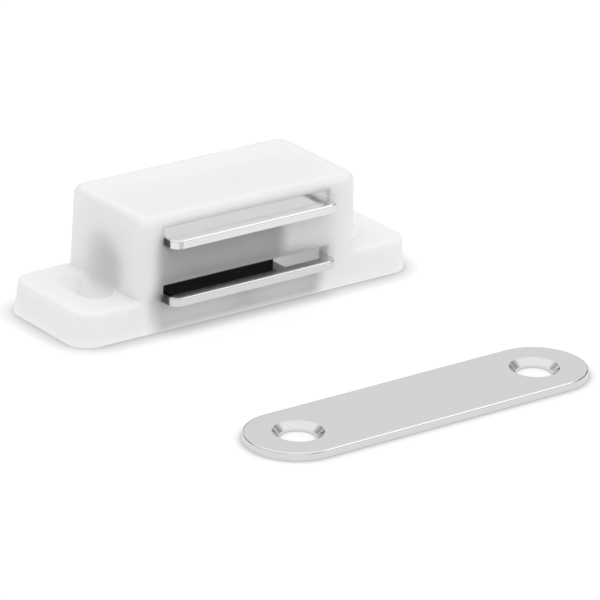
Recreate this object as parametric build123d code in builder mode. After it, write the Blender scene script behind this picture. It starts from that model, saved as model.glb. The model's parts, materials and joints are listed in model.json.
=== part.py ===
from build123d import *
from math import radians, tan
import os

# Magnetic cabinet catch: a moulded casing screwed to the cabinet, holding a magnet between
# two steel pole plates, and the flat steel strike plate that is screwed to the door.
# The origin is the middle of the casing's base. +X runs along the casing, +Z is up from the
# mounting surface, and the pole plates point along -Y.

# ---------------------------------------------------------------- casing, outside
casing_length = 46.0
casing_depth = 15.0
ear_thickness = 4.0
ear_corner_radius = 2.5
ear_draft = 5.0
ear_edge_radius = 0.6
body_length = 30.4
body_corner_radius = 1.6
body_top_radius = 1.2
body_draft = 1.5

# ---------------------------------------------------------------- screw slots in the ears
screw_slot_width = 4.3
screw_slot_length = 7.9

# ---------------------------------------------------------------- magnet pack
pack_offset_x = -0.6
plate_thickness = 1.0
plate_front_width = 22.6
plate_shoulder = 1.3
plate_reach = 2.0
plate_tail = 1.0
plate_corner_radius = 1.15
plate_edge_radius = 0.2
magnet_length = 17.8
magnet_depth = 7.5
magnet_height = 5.8
magnet_edge = 0.3

# ---------------------------------------------------------------- fits between pack and casing
pack_float = 1.0
seat_gap = 0.05
side_gap = 0.1
end_gap = 0.15
rib_gap = 0.25

# ---------------------------------------------------------------- casing, inside
front_wall = 1.5
roof_wall = 1.15
lower_slot_sill = 3.35
cavity_step = 0.1
stop_rib_thickness = 1.4
snap_height = 0.4
snap_ramp = 1.8
snap_lead = 0.1
floor_wall = 1.25
pocket_rim = 1.9
pocket_web = 1.6
pocket_corner_radius = 0.8

# ---------------------------------------------------------------- strike plate
strike_length = 44.0
strike_width = 11.1
strike_thickness = 0.9
strike_edge_radius = 0.2
strike_hole_spacing = 32.0
strike_hole_radius = 2.05
countersink_radius = 2.8
countersink_angle = 100.0
strike_offset_x = -0.85
strike_offset_y = -39.4

# ---------------------------------------------------------------- derived sizes
front_y = -casing_depth / 2
back_y = casing_depth / 2
body_end_at_ear = body_length / 2 - ear_thickness * tan(radians(body_draft))
screw_slot_x = body_end_at_ear + screw_slot_width / 2

inner_front_y = front_y + front_wall
plate_right_x = pack_offset_x + plate_front_width / 2
plate_left_x = pack_offset_x - plate_front_width / 2 - plate_shoulder
plate_front_y = front_y - plate_reach
plate_shoulder_y = inner_front_y + end_gap
magnet_front_y = plate_shoulder_y + end_gap
magnet_back_y = magnet_front_y + magnet_depth
plate_back_y = magnet_back_y + plate_tail

lower_plate_z = lower_slot_sill + seat_gap
magnet_z = lower_plate_z + plate_thickness
upper_plate_z = magnet_z + magnet_height

front_slot_length = plate_front_width + 2 * side_gap
front_slot_height = seat_gap + plate_thickness + pack_float + seat_gap
upper_slot_sill = upper_plate_z - seat_gap

cavity_left_x = plate_left_x - end_gap
cavity_right_x = plate_right_x + side_gap
cavity_floor_z = lower_slot_sill - cavity_step
cavity_top_z = upper_slot_sill + front_slot_height + cavity_step
cavity_height = cavity_top_z - cavity_floor_z
casing_height = cavity_top_z + roof_wall
magnet_left_x = cavity_left_x + end_gap
magnet_right_x = magnet_left_x + magnet_length
snap_y = plate_back_y + end_gap


def drafted_block(size, draft_angle, corner_radius, top_radius):
    """Block with an upright front, whose ends and back lean inwards; corners and top edges rounded."""
    length, depth, height = size
    with BuildPart() as block:
        with BuildSketch(Plane.XY):
            Rectangle(length, depth)
        extrude(amount=height)
        ends = block.faces().filter_by(Axis.X)
        back = block.faces().filter_by(Axis.Y).sort_by(Axis.Y)[-1]
        draft([*ends, back], Plane.XY, draft_angle)
        base_and_top = block.faces().filter_by(Axis.Z).edges()
        fillet(block.edges() - base_and_top, corner_radius)
        fillet(block.faces().sort_by(Axis.Z)[-1].edges(), top_radius)
    return block.part


def pole_plate_outline(height):
    """Steel blank: a nose that passes the front slot, and a shoulder that stops behind the wall."""
    nose_depth = plate_shoulder_y - plate_front_y
    tail_depth = plate_back_y - plate_shoulder_y
    with BuildSketch(Plane.XY.offset(height)) as blank:
        with Locations((pack_offset_x, plate_front_y + nose_depth / 2)):
            Rectangle(plate_front_width, nose_depth)
        fillet(blank.vertices().group_by(Axis.Y)[0], plate_corner_radius)
        with Locations(((plate_left_x + plate_right_x) / 2, plate_shoulder_y + tail_depth / 2)):
            Rectangle(plate_right_x - plate_left_x, tail_depth)
    extrude(blank.sketch, amount=plate_thickness)


# ================================================================ casing
with BuildPart() as casing:
    # Ears: one flat foot that runs the whole length
    foot_size = (casing_length, casing_depth, ear_thickness)
    add(drafted_block(foot_size, ear_draft, ear_corner_radius, ear_edge_radius))

    # Body: the taller block in the middle, flush with the front of the ears
    body_size = (body_length, casing_depth, casing_height)
    add(drafted_block(body_size, body_draft, body_corner_radius, body_top_radius))

    # Screw slots: across the depth, each touching the end of the body
    with BuildSketch(Plane.XY):
        with Locations((-screw_slot_x, 0), (screw_slot_x, 0)):
            SlotOverall(screw_slot_length, screw_slot_width, rotation=90)
    extrude(amount=ear_thickness, mode=Mode.SUBTRACT)

    # Cavity for the magnet pack, open at the back
    with BuildSketch(Plane.XZ.offset(-back_y)):
        with Locations(((cavity_left_x + cavity_right_x) / 2, cavity_floor_z + cavity_height / 2)):
            Rectangle(cavity_right_x - cavity_left_x, cavity_height)
    extrude(amount=back_y - inner_front_y, mode=Mode.SUBTRACT)

    # Front slots: taller than the plates by the float of the pack
    with BuildSketch(Plane.XZ.offset(-inner_front_y)):
        for sill in (lower_slot_sill, upper_slot_sill):
            with Locations((pack_offset_x, sill + front_slot_height / 2)):
                Rectangle(front_slot_length, front_slot_height)
    extrude(amount=front_wall, mode=Mode.SUBTRACT)

    # Stop rib on the inside of the front wall, at the free end of the magnet
    rib_low_z = magnet_z + pack_float + rib_gap
    rib_high_z = upper_plate_z - rib_gap
    with BuildSketch(Plane.XZ.offset(-magnet_back_y)):
        with Locations((magnet_right_x + end_gap + stop_rib_thickness / 2, (rib_low_z + rib_high_z) / 2)):
            Rectangle(stop_rib_thickness, rib_high_z - rib_low_z)
    extrude(amount=magnet_back_y - inner_front_y)

    # Snap ridges on both side walls, behind the plates
    with BuildSketch(Plane.XY.offset(cavity_floor_z)):
        for wall_x, inward in ((cavity_left_x, 1), (cavity_right_x, -1)):
            with BuildLine():
                Polyline(
                    (wall_x, snap_y),
                    (wall_x + inward * snap_height, snap_y + snap_lead),
                    (wall_x, snap_y + snap_lead + snap_ramp),
                    close=True,
                )
            make_face()
    extrude(amount=cavity_height)

    # Cored-out underside: two shallow pockets with a web between them
    pocket_left_x = cavity_left_x
    pocket_right_x = cavity_right_x
    pocket_width = casing_depth - 2 * pocket_rim
    with BuildSketch(Plane.XY):
        for low_x, high_x in ((pocket_left_x, -pocket_web / 2), (pocket_web / 2, pocket_right_x)):
            with Locations(((low_x + high_x) / 2, 0)):
                RectangleRounded(high_x - low_x, pocket_width, pocket_corner_radius)
    extrude(amount=cavity_floor_z - floor_wall, mode=Mode.SUBTRACT)

# ================================================================ pole plates
with BuildPart() as lower_pole_plate:
    pole_plate_outline(lower_plate_z)
    fillet(lower_pole_plate.faces().sort_by(Axis.Z)[-1].edges().group_by(Axis.Y)[0:2], plate_edge_radius)

with BuildPart() as upper_pole_plate:
    pole_plate_outline(upper_plate_z)
    fillet(upper_pole_plate.faces().sort_by(Axis.Z)[-1].edges().group_by(Axis.Y)[0:2], plate_edge_radius)

# ================================================================ magnet
with BuildPart() as magnet:
    with BuildSketch(Plane.XY.offset(magnet_z)):
        with Locations((magnet_left_x + magnet_length / 2, magnet_front_y + magnet_depth / 2)):
            Rectangle(magnet_length, magnet_depth)
    extrude(amount=magnet_height)
    chamfer(magnet.edges().filter_by(Axis.Z), magnet_edge)

# ================================================================ strike plate
with BuildPart() as strike_plate:
    with BuildSketch(Plane.XY):
        with Locations((strike_offset_x, strike_offset_y)):
            SlotOverall(strike_length, strike_width)
    extrude(amount=strike_thickness)
    fillet(strike_plate.faces().sort_by(Axis.Z)[-1].edges(), strike_edge_radius)
    with Locations((strike_offset_x, strike_offset_y, strike_thickness)):
        with GridLocations(strike_hole_spacing, 0, 2, 1):
            CounterSinkHole(strike_hole_radius, countersink_radius, counter_sink_angle=countersink_angle)

# ================================================================ hand over
casing.part.label = "casing"
upper_pole_plate.part.label = "upper_pole_plate"
lower_pole_plate.part.label = "lower_pole_plate"
magnet.part.label = "magnet"
strike_plate.part.label = "strike_plate"

os.makedirs("parts", exist_ok=True)
export_step(casing.part, "parts/casing.step")
export_step(upper_pole_plate.part, "parts/upper_pole_plate.step")
export_step(lower_pole_plate.part, "parts/lower_pole_plate.step")
export_step(magnet.part, "parts/magnet.step")
export_step(strike_plate.part, "parts/strike_plate.step")
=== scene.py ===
import json
import math

import bpy
from mathutils import Matrix, Vector


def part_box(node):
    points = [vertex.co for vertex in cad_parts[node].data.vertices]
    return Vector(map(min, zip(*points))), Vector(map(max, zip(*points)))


MM = 0.001

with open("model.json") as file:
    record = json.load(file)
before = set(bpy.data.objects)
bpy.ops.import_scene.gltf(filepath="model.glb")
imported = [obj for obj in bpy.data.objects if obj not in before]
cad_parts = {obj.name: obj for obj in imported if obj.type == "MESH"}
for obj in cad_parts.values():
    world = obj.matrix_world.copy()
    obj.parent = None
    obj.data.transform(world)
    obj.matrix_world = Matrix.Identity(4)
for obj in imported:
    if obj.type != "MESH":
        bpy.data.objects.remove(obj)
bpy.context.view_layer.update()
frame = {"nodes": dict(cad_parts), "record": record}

# ---------------------------------------------------------------- where the pieces lie
casing_low, casing_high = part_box("casing")
magnet_low, magnet_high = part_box("magnet")
upper_low, upper_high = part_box("upper_pole_plate")
lower_low, lower_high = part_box("lower_pole_plate")
screw_slots_x = [mount["pos_m"][0] for mount in frame["record"]["mounts"]
                 if mount["name"] in ("screw_slot_left", "screw_slot_right")]


# ---------------------------------------------------------------- small helpers
def linear(hex_colour):
    """A colour written the usual way, such as "E8E7E3", as the linear values that Blender mixes."""
    channels = [int(hex_colour[i:i + 2], 16) / 255 for i in (0, 2, 4)]
    return tuple(c / 12.92 if c <= 0.04045 else ((c + 0.055) / 1.055) ** 2.4 for c in channels) + (1.0,)


def grey(level):
    """A neutral grey, from 0 for black to 1 for white, already linear."""
    return (level, level, level, 1.0)


def new_material(name):
    """An empty material and its output node."""
    material = bpy.data.materials.new(name)
    material.use_nodes = True
    material.node_tree.nodes.clear()
    output = material.node_tree.nodes.new("ShaderNodeOutputMaterial")
    return material, output


def add(tree, kind, settings=None, inputs=None, stops=None):
    """Adds one node. Settings are its own properties, inputs are values or the sockets that feed it,
    and stops are the positions and colours of a ramp, from first to last."""
    node = tree.nodes.new("ShaderNode" + kind)
    for key, value in (settings or {}).items():
        setattr(node, key, value)
    for key, value in (inputs or {}).items():
        if isinstance(value, bpy.types.NodeSocket):
            tree.links.new(value, node.inputs[key])
        else:
            node.inputs[key].default_value = value
    if stops:
        elements = node.color_ramp.elements
        elements[0].position, elements[0].color = stops[0]
        elements[1].position, elements[1].color = stops[-1]
        for position, colour in stops[1:-1]:
            elements.new(position).color = colour
    return node


def away_from_box(tree, place, low, high, full, none, strength=1.0):
    """1 - `strength` within `full` metres of a box, rising smoothly to 1 at `none` metres from it."""
    low, high = Vector(low), Vector(high)
    middle, half = (low + high) / 2, (high - low) / 2
    offset = add(tree, "VectorMath", {"operation": "SUBTRACT"}, {0: place, 1: middle})
    size = add(tree, "VectorMath", {"operation": "ABSOLUTE"}, {0: offset.outputs[0]})
    beyond = add(tree, "VectorMath", {"operation": "SUBTRACT"}, {0: size.outputs[0], 1: half})
    outside = add(tree, "VectorMath", {"operation": "MAXIMUM"}, {0: beyond.outputs[0], 1: (0, 0, 0)})
    distance = add(tree, "VectorMath", {"operation": "LENGTH"}, {0: outside.outputs[0]})
    rise = add(tree, "MapRange", {"interpolation_type": "SMOOTHSTEP"},
               {"Value": distance.outputs["Value"], "From Min": full, "From Max": none,
                "To Min": 1.0 - strength, "To Max": 1.0})
    return rise.outputs["Result"]


def product(tree, measures):
    """Several measures multiplied together."""
    result = measures[0]
    for measure in measures[1:]:
        result = add(tree, "Math", {"operation": "MULTIPLY"}, {0: result, 1: measure}).outputs[0]
    return result


def with_painted_shade(tree, colour, place, low, high, full, none, shade_colour):
    """The colour with a painted shade laid over it near a box, fading out between `full` and `none` metres.
    """
    clear = away_from_box(tree, place, low, high, full, none)
    wash = add(tree, "ValToRGB", inputs={"Fac": clear}, stops=[(0.0, linear(shade_colour)), (1.0, grey(1.0))])
    both = add(tree, "VectorMath", {"operation": "MULTIPLY"}, {0: colour, 1: wash.outputs["Color"]})
    return both.outputs[0]


def paint(node_name, material):
    """Puts a finish on a CAD piece."""
    piece = frame["nodes"][node_name]
    piece.data.materials.clear()
    piece.data.materials.append(material)


# ---------------------------------------------------------------- finishes
def light_travel(tree, place):
    """How far light runs in the nylon before it scatters: 1.4 mm where the moulding is solid, further
    in the thin walls round the magnet pack, and clear through inside its pockets."""
    solid_travel, open_travel = 1.4 * MM, 40.0 * MM
    # The walls turn grey over the magnet, except near its two ends.
    grey_left, grey_right = magnet_low[0] + 2.6 * MM, magnet_high[0] - 2.0 * MM
    front, back = magnet_low[1], magnet_high[1]
    band_low, band_high = lower_high[2] + 1.6 * MM, upper_low[2] - 1.6 * MM
    # The pockets' own walls are bright, but nothing of that reaches the casing's outer faces.
    pocket_front = front - 0.5 * MM
    pocket_right = upper_high[0] - 1.2 * MM
    free_end = magnet_high[0] + 0.5 * MM
    # Each place: low corner, high corner, how far its full effect and its last trace reach, how strong.
    places = [
        # the front wall between the two slots, in front of the magnet, and fainter to the slots' right end
        ((grey_left, front, band_low), (grey_right, back, band_high), 1.8 * MM, 3.4 * MM, 0.31),
        ((grey_left, front, band_low), (upper_high[0] - 1.0 * MM, back, band_high),
         1.8 * MM, 5.0 * MM, 0.07),
        # the sill under the lower slot
        ((grey_left, front, 0.4 * MM), (grey_right + 3.5 * MM, back, lower_low[2] - 1.0 * MM),
         1.8 * MM, 5.0 * MM, 0.5),
        # the oval on the left end wall, where the magnet's end lies close behind it
        ((magnet_low[0], -0.7 * MM, magnet_low[2] + 0.4 * MM),
         (grey_left, 0.7 * MM, magnet_low[2] + 2.2 * MM), 1.9 * MM, 4.6 * MM, 0.16),
        # the pocket of the upper plate, and the free right-hand part of the lower plate's
        ((grey_left - 0.5 * MM, pocket_front, upper_low[2]), (pocket_right, upper_high[1], upper_high[2]),
         1.2 * MM, 1.6 * MM, 1.0),
        ((free_end, pocket_front, lower_low[2]), (pocket_right - 0.5 * MM, lower_high[1], lower_high[2]),
         1.2 * MM, 1.6 * MM, 1.0),
        # the room beside the magnet's free end
        ((free_end, front + 0.7 * MM, lower_high[2]),
         (pocket_right + 0.4 * MM, casing_high[1] + 0.5 * MM, upper_low[2]),
         0.9 * MM, 1.3 * MM, 1.0)]
    # The ears' screw slots: a block that stands a little outwards, clear of the body's end walls.
    half_width, half_length, top = 1.25 * MM, 3.95 * MM, 3.0 * MM
    for x in screw_slots_x:
        middle = x + math.copysign(0.9 * MM, x)
        places.append(((middle - half_width, -half_length, 0.0), (middle + half_width, half_length, top),
                       0.2 * MM, 1.0 * MM, 0.8))
    solid = product(tree, [away_from_box(tree, place, *box) for box in places])
    travel = add(tree, "MapRange", inputs={"Value": solid, "To Min": open_travel, "To Max": solid_travel})
    return travel.outputs["Result"]


def natural_nylon():
    """Injection-moulded natural nylon, satin from a fine spark-eroded mould.
    The eye sees a cool off-white that glows a little, because light goes through its thin walls,
    and a grey shadow of the magnet wherever it lies close behind a wall; on the sill under the lower
    slot that shade is painted into the colour."""
    # The mould's spark finish is about 0.05 mm; drawn at 0.15 mm so that it shows.
    spark_grain = 0.15 * MM
    # Sink and flow lines, about 4 mm wide and very shallow.
    flow_line = 4 * MM
    material, output = new_material("natural_nylon")
    tree = material.node_tree
    place = add(tree, "TexCoord").outputs["Object"]
    grain = add(tree, "TexNoise", inputs={"Vector": place, "Scale": 1 / spark_grain, "Detail": 3.0})
    flow = add(tree, "TexNoise", inputs={"Vector": place, "Scale": 1 / flow_line, "Detail": 2.0})
    fine = add(tree, "Bump", inputs={"Strength": 0.12, "Distance": 0.01 * MM,
                                     "Height": grain.outputs["Fac"]})
    broad = add(tree, "Bump", inputs={"Strength": 0.2, "Distance": 0.1 * MM,
                                      "Height": flow.outputs["Fac"],
                                      "Normal": fine.outputs["Normal"]})
    gloss = add(tree, "MapRange", inputs={"Value": flow.outputs["Fac"], "To Min": 0.28, "To Max": 0.36})
    colour = add(tree, "ValToRGB", inputs={"Fac": flow.outputs["Fac"]},
                 stops=[(0.3, linear("F7F7F6")), (0.7, linear("F9F9F9"))]).outputs["Color"]
    # Painted shade: the sill under the lower slot is greyed in the colour, standing in for the shade
    # under the overhanging plate and the dark pack behind the wall, most of all along the bottom edge.
    sill_left, sill_right = magnet_low[0] + 1.6 * MM, magnet_high[0] + 3.4 * MM
    sill_front, sill_back = casing_low[1] - 1.5 * MM, casing_low[1] - 0.1 * MM
    colour = with_painted_shade(tree, colour, place, (sill_left, sill_front, 0.0),
                    (sill_right, sill_back, lower_low[2] - 0.8 * MM), 0.3 * MM, 3.0 * MM, "ACACAC")
    colour = with_painted_shade(tree, colour, place, (sill_left, sill_front, -1.0 * MM),
                    (sill_right, sill_back, 0.1 * MM), 0.2 * MM, 1.8 * MM, "D2D2D2")
    plastic = add(tree, "BsdfPrincipled", inputs={
        "Base Color": colour, "Roughness": gloss.outputs["Result"], "IOR": 1.53,
        "Subsurface Weight": 1.0, "Subsurface Scale": light_travel(tree, place),
        "Subsurface Radius": (1.0, 1.0, 1.0), "Normal": broad.outputs["Normal"]})
    tree.links.new(plastic.outputs[0], output.inputs["Surface"])
    return material


def nickel_plate(name, colour, roughness, streak, relief, dullest, painted_shade_corner=None):
    """Cold-rolled steel with bright nickel plating.
    The eye sees a clear but slightly broken reflection, drawn out along the rolling direction.
    `roughness` is its range, `streak` the width of a rolling streak, `relief` its strength and
    `dullest` the share of light that the dullest streak still gives back."""
    material, output = new_material(name)
    tree = material.node_tree
    place = add(tree, "TexCoord").outputs["Object"]
    # Rolling draws the grain out to 25 times its width, along the plate.
    along = add(tree, "Mapping", inputs={"Vector": place, "Scale": (0.04, 1.0, 1.0)})
    rolled = add(tree, "TexNoise", inputs={"Vector": along.outputs[0], "Scale": 1 / streak, "Detail": 4.0})
    # The plating bath leaves clouds about 6 mm wide.
    cloud = add(tree, "TexNoise", inputs={"Vector": place, "Scale": 1 / (6 * MM), "Detail": 3.0})
    ridges = add(tree, "Bump", inputs={"Strength": relief, "Distance": 0.01 * MM,
                                       "Height": rolled.outputs["Fac"]})
    gloss = add(tree, "MapRange", inputs={"Value": cloud.outputs["Fac"],
                                          "To Min": roughness[0], "To Max": roughness[1]})
    bright = linear(colour)
    dull = tuple(dullest * channel for channel in bright[:3]) + (1.0,)
    finish = add(tree, "ValToRGB", inputs={"Fac": rolled.outputs["Fac"]},
                 stops=[(0.3, dull), (0.7, bright)]).outputs["Color"]
    if painted_shade_corner:
        # Painted shade: the corner at the left shoulder is darkened in the colour, standing in for the shade
        # in the slot and the dark that this face reflects there.
        finish = with_painted_shade(tree, finish, place,
                        (upper_low[0], upper_low[1] + 1.2 * MM, lower_low[2] - 0.4 * MM),
                        (upper_low[0] + 1.6 * MM, upper_low[1] + 2.5 * MM, upper_high[2] - 0.35 * MM),
                        0.1 * MM, 0.35 * MM, painted_shade_corner)
    metal = add(tree, "BsdfPrincipled", inputs={
        "Base Color": finish, "Metallic": 1.0, "Roughness": gloss.outputs["Result"],
        "Normal": ridges.outputs["Normal"]})
    tree.links.new(metal.outputs[0], output.inputs["Surface"])
    return material


def sintered_ferrite():
    """Pressed and sintered ferrite: nearly black, matt, with a fine open grain and chalky bloom."""
    open_grain = 0.2 * MM
    material, output = new_material("sintered_ferrite")
    tree = material.node_tree
    place = add(tree, "TexCoord").outputs["Object"]
    grain = add(tree, "TexNoise", inputs={"Vector": place, "Scale": 1 / open_grain, "Detail": 5.0})
    tone = add(tree, "ValToRGB", inputs={"Fac": grain.outputs["Fac"]},
               stops=[(0.3, linear("050506")), (0.7, linear("0F0F10"))])
    pits = add(tree, "Bump", inputs={"Strength": 0.4, "Distance": 0.03 * MM,
                                     "Height": grain.outputs["Fac"]})
    stone = add(tree, "BsdfPrincipled", inputs={
        "Base Color": tone.outputs["Color"], "Roughness": 0.8, "IOR": 1.5,
        "Normal": pits.outputs["Normal"]})
    tree.links.new(stone.outputs[0], output.inputs["Surface"])
    return material


# Rolling streaks are finer than 0.1 mm; drawn at 0.2 to 0.3 mm so that they show.
paint("casing", natural_nylon())
paint("upper_pole_plate", nickel_plate("pole_nickel", "EDEDEC", (0.04, 0.08), 0.22 * MM, 0.05, 0.95,
                                       painted_shade_corner="707070"))
# Painted shade: the lower plate is a darker copy of the upper plate's nickel, standing in for the darker
# floor near the base that its front reflects.
paint("lower_pole_plate", nickel_plate("pole_nickel_painted_shade", "DEDEDD", (0.04, 0.08), 0.22 * MM, 0.05, 0.95,
                                       painted_shade_corner="7C7C7C"))
paint("magnet", sintered_ferrite())
paint("strike_plate", nickel_plate("strike_nickel", "E0E0E0", (0.09, 0.15), 0.3 * MM, 0.05, 0.975))


# ---------------------------------------------------------------- floor
def white_floor():
    """White paper under the catch. It stays white to the eye and darkens where something stands on it."""
    wide_shadow, thin_shadow, thin_share = 3.6 * MM, 0.7 * MM, 0.12
    material, output = new_material("white_floor")
    tree = material.node_tree
    path = add(tree, "LightPath")
    contact = add(tree, "AmbientOcclusion", {"samples": 16}, {"Distance": wide_shadow})
    foot = add(tree, "AmbientOcclusion", {"samples": 8}, {"Distance": thin_shadow})
    at_foot = add(tree, "Math", {"operation": "MULTIPLY_ADD"},
                  {0: foot.outputs["AO"], 1: thin_share, 2: -thin_share})
    open_sky = add(tree, "Math", {"operation": "ADD"},
                   {0: contact.outputs["AO"], 1: at_foot.outputs[0]}).outputs[0]
    # Most of the paper's white is its own light, so the catch's shadow stays pale.
    shade = add(tree, "ValToRGB", inputs={"Fac": open_sky}, stops=[(0.3, grey(0.4)), (0.95, grey(1.0))])
    lit_shade = add(tree, "ValToRGB", inputs={"Fac": open_sky}, stops=[(0.3, grey(0.1)), (0.95, grey(0.25))])
    paper_seen = add(tree, "BsdfDiffuse", inputs={"Color": lit_shade.outputs["Color"]})
    lift = add(tree, "Emission", inputs={"Color": shade.outputs["Color"], "Strength": 0.8})
    shown = add(tree, "AddShader", inputs={0: paper_seen.outputs[0], 1: lift.outputs[0]})
    # What the paper gives to the catch: bounced light and its mirrored white.
    paper = add(tree, "BsdfDiffuse", inputs={"Color": grey(0.32)})
    glow = add(tree, "Emission", inputs={"Color": grey(1.0), "Strength": 0.63})
    bounce = add(tree, "AddShader", inputs={0: paper.outputs[0], 1: glow.outputs[0]})
    both = add(tree, "MixShader", inputs={0: path.outputs["Is Camera Ray"], 1: bounce.outputs[0],
                                          2: shown.outputs[0]})
    tree.links.new(both.outputs[0], output.inputs["Surface"])
    return material


# The floor lies a hair below the casing's base: level with it, the two faces would shade each other.
floor_gap = 0.03 * MM
bpy.ops.mesh.primitive_plane_add(size=0.5, location=(0, 0, -floor_gap))
floor = bpy.context.object
floor.name = "floor"
floor.data.materials.append(white_floor())


# ---------------------------------------------------------------- light
def white_room():
    """A white room, dark along its skirting, which gives the metal its dark lines. Two grey cards stand
    behind the set at the left and right; they show only as reflections and take no light away."""
    room_level, card_depth = 1.06, 0.6
    # The set looks along this direction, measured from the catch's length.
    turn = math.radians(52.9)
    onward = (math.cos(turn), math.sin(turn), 0.0)
    sideways = (math.sin(turn), -math.cos(turn), 0.0)
    world = bpy.data.worlds.new("white_room")
    bpy.context.scene.world = world
    world.use_nodes = True
    tree = world.node_tree
    tree.nodes.clear()
    direction = add(tree, "TexCoord").outputs["Generated"]
    height = add(tree, "SeparateXYZ", inputs={"Vector": direction}).outputs["Z"]
    walls = add(tree, "ValToRGB", inputs={"Fac": height},
                stops=[(0.0, grey(0.06)), (0.13, grey(0.12)), (0.27, grey(0.82)), (0.45, grey(0.8)),
                       (0.6, grey(1.0))])
    across = add(tree, "VectorMath", {"operation": "DOT_PRODUCT"}, {0: direction, 1: sideways})
    to_side = add(tree, "Math", {"operation": "ABSOLUTE"}, {0: across.outputs["Value"]})
    away = add(tree, "VectorMath", {"operation": "DOT_PRODUCT"}, {0: direction, 1: onward})
    path = add(tree, "LightPath")
    card = [path.outputs["Is Glossy Ray"]]
    for measure, none, full in ((to_side.outputs[0], 0.48, 0.66), (height, 0.75, 0.5),
                                (away.outputs["Value"], 0.1, 0.3)):
        card.append(add(tree, "MapRange", {"interpolation_type": "SMOOTHSTEP"}, {
            "Value": measure, "From Min": none, "From Max": full}).outputs["Result"])
    level = add(tree, "Math", {"operation": "MULTIPLY_ADD"},
                {0: product(tree, card), 1: -card_depth, 2: room_level})
    room = add(tree, "Background", inputs={"Color": walls.outputs["Color"], "Strength": level.outputs[0]})
    backdrop = add(tree, "Background", inputs={"Color": grey(1.0), "Strength": 1.0})
    mixed = add(tree, "MixShader", inputs={0: path.outputs["Is Camera Ray"], 1: room.outputs[0],
                                           2: backdrop.outputs[0]})
    add(tree, "OutputWorld", inputs={"Surface": mixed.outputs[0]})


def soft_box(name, place, aim, size, watts):
    """A square soft box at `place`, turned to face `aim`."""
    light = bpy.data.lights.new(name, "AREA")
    light.shape = "SQUARE"
    light.size = size
    light.energy = watts
    lamp = bpy.data.objects.new(name, light)
    bpy.context.scene.collection.objects.link(lamp)
    lamp.location = place
    lamp.rotation_euler = (Vector(aim) - Vector(place)).to_track_quat("-Z", "Y").to_euler()


white_room()
soft_box("front_box", place=(0.28, -0.322, 0.257), aim=(0, 0, 0), size=0.18, watts=0.10)


# ---------------------------------------------------------------- camera
def long_lens():
    """The camera: a long lens half a metre away, at the front left and above."""
    right = (0.80389936, -0.59406598, 0.02883456)
    up = (0.20188748, 0.31815733, 0.92629226)
    back = (-0.55945265, -0.73882442, 0.37570096)
    camera = bpy.data.cameras.new("camera")
    camera.sensor_width = 36.0
    camera.lens = 281.47266
    camera.clip_start = 0.01
    camera.clip_end = 10.0
    eye = bpy.data.objects.new("camera", camera)
    bpy.context.scene.collection.objects.link(eye)
    eye.matrix_world = (Matrix.Translation((-0.289914, -0.399586, 0.198979))
                        @ Matrix((right, up, back)).transposed().to_4x4())
    bpy.context.scene.camera = eye


long_lens()
bpy.context.scene.view_settings.view_transform = "Standard"
